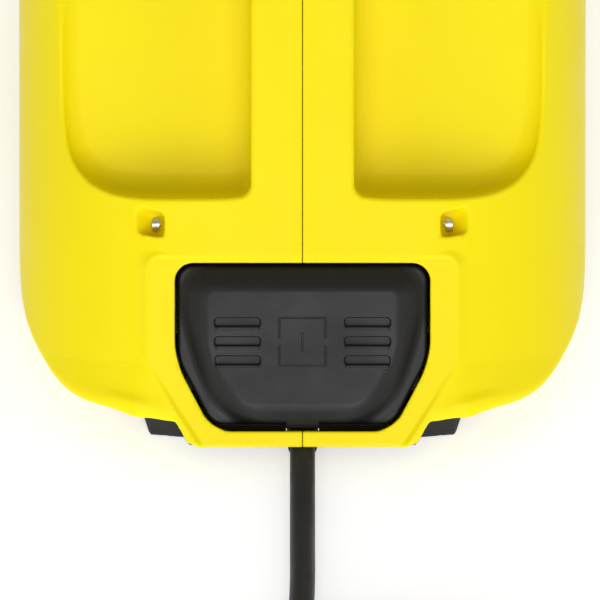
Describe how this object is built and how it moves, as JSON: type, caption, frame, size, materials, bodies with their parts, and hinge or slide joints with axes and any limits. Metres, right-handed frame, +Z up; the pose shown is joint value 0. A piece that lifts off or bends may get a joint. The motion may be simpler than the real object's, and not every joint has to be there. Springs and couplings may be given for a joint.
{
  "type": "domestic water pump",
  "caption": "Foot-switched home water pump: two-part housing with carrying handle and hand scoops, foot pedal, pump head with filter and swivelling outlet, rubber feet and mains lead.",
  "frame": {"origin": "on the floor, under the middle of the pump without its lead", "axes": "+Z up, +Y along the shaft towards the pump head, +X to the right seen from the pedal end"},
  "size_m": [0.2183, 0.6428, 0.26],
  "materials": {
    "yellow_shell": "satin moulded polypropylene",
    "pedal_black": "soft-touch over-moulded rubber with a fine texture",
    "black_plastic": "glass-filled polypropylene, fine texture",
    "soft_rubber": "matte",
    "lead_rubber": "smooth matte rubber sheath",
    "plug_rubber": "moulded rubber",
    "zinc_steel": "zinc plated",
    "spring_steel": "drawn wire",
    "ground_steel": "ground",
    "grey_plastic": "moulded",
    "white_plastic": "moulded",
    "cast_aluminium": "die cast",
    "motor_steel": "stacked laminations",
    "copper_wire": "enamelled copper wire",
    "cream_plastic": "moulded",
    "ceramic": "lapped ceramic ring"
  },
  "bodies": {
    "pump": {"left_housing_shell": "yellow_shell", "right_housing_shell": "yellow_shell", "base_plate": "black_plastic", "rubber_feet": "soft_rubber", "shell_screws": "zinc_steel", "base_screws": "zinc_steel", "pedal_hinge_pin": "zinc_steel", "pedal_spring": "spring_steel", "switch_carrier": "grey_plastic", "push_switch": "grey_plastic", "run_capacitor": "white_plastic", "terminal_block": "grey_plastic", "cord_gland": "black_plastic", "strain_relief": "soft_rubber", "power_cord": "lead_rubber", "cord_coil": "lead_rubber", "cord_tail": "lead_rubber", "cord_tie": "black_plastic", "mains_plug": "plug_rubber", "plug_pins": "zinc_steel", "motor_frame": "cast_aluminium", "stator_core": "motor_steel", "stator_windings": "copper_wire", "rear_bearing": "ground_steel", "front_bearing": "ground_steel", "fan_cowl": "grey_plastic", "rear_end_shield": "cast_aluminium", "front_end_shield": "cast_aluminium", "tie_bolts": "zinc_steel", "motor_cradle": "soft_rubber", "front_cover": "black_plastic", "seal_plate": "cast_aluminium", "seal_seat": "ceramic", "pump_casing": "black_plastic", "casing_o_ring": "soft_rubber", "casing_screws": "zinc_steel", "diffusers": "cream_plastic", "pump_foot": "black_plastic", "filter_housing": "black_plastic", "prefilter_strainer": "white_plastic", "valve_spring": "spring_steel"},
    "pedal": {"foot_pedal": "pedal_black"},
    "plunger": {"switch_plunger": "white_plastic"},
    "rotor": {"motor_shaft": "ground_steel", "rotor_core": "motor_steel", "cooling_fan": "grey_plastic", "rotary_seal": "soft_rubber", "impellers": "cream_plastic"},
    "cap_seal": {"cap_o_ring": "soft_rubber"},
    "cap": {"filter_cap": "black_plastic"},
    "drain_seal": {"drain_o_ring": "soft_rubber"},
    "drain": {"drain_plug": "black_plastic"},
    "check_valve": {"valve_disc": "white_plastic"},
    "outlet": {"outlet_elbow": "black_plastic", "outlet_o_ring": "soft_rubber"}
  },
  "joints": [
    {"name": "pedal_press", "type": "hinge", "parent": "pump", "child": "pedal", "pos_m": [0, -0.19361, 0.01869], "axis": [-1, 0, 0], "range_deg": [0, 5], "stiffness_Nm_per_rad": 2},
    {"name": "plunger_travel", "type": "slide", "parent": "pump", "child": "plunger", "axis": [0, 0.7547, -0.6561], "range_m": [0, 0.003]},
    {"name": "rotor_spin", "type": "hinge", "parent": "pump", "child": "rotor", "pos_m": [0, 0, 0.094], "axis": [0, 1, 0], "continuous": true},
    {"name": "cap_lift", "type": "slide", "parent": "pump", "child": "cap_seal", "axis": [0, 0, 1], "range_m": [0, 0.0081]},
    {"name": "cap_turn", "type": "hinge", "parent": "cap_seal", "child": "cap", "pos_m": [0, 0.15915, 0.19], "axis": [0, 0, 1], "range_deg": [0, 720]},
    {"name": "drain_lift", "type": "slide", "parent": "pump", "child": "drain_seal", "axis": [0, 1, 0], "range_m": [0, 0.0081]},
    {"name": "drain_turn", "type": "hinge", "parent": "drain_seal", "child": "drain", "pos_m": [0, 0.12715, 0.038], "axis": [0, 1, 0], "range_deg": [0, 1440]},
    {"name": "valve_lift", "type": "slide", "parent": "pump", "child": "check_valve", "axis": [0, 0, 1], "range_m": [0, 0.008], "stiffness_N_per_m": 60, "deforming": ["valve_spring"]},
    {"name": "outlet_swivel", "type": "hinge", "parent": "pump", "child": "outlet", "pos_m": [0, 0.09715, 0.208], "axis": [0, 0, 1], "range_deg": [-115, 115]}
  ],
  "couplings": [
    {"joint": "plunger_travel", "follows": "pedal_press", "m_per_rad": 0.033},
    {"joint": "cap_lift", "follows": "cap_turn", "m_per_rad": 0.00063662},
    {"joint": "drain_lift", "follows": "drain_turn", "m_per_rad": 0.00031831}
  ]
}
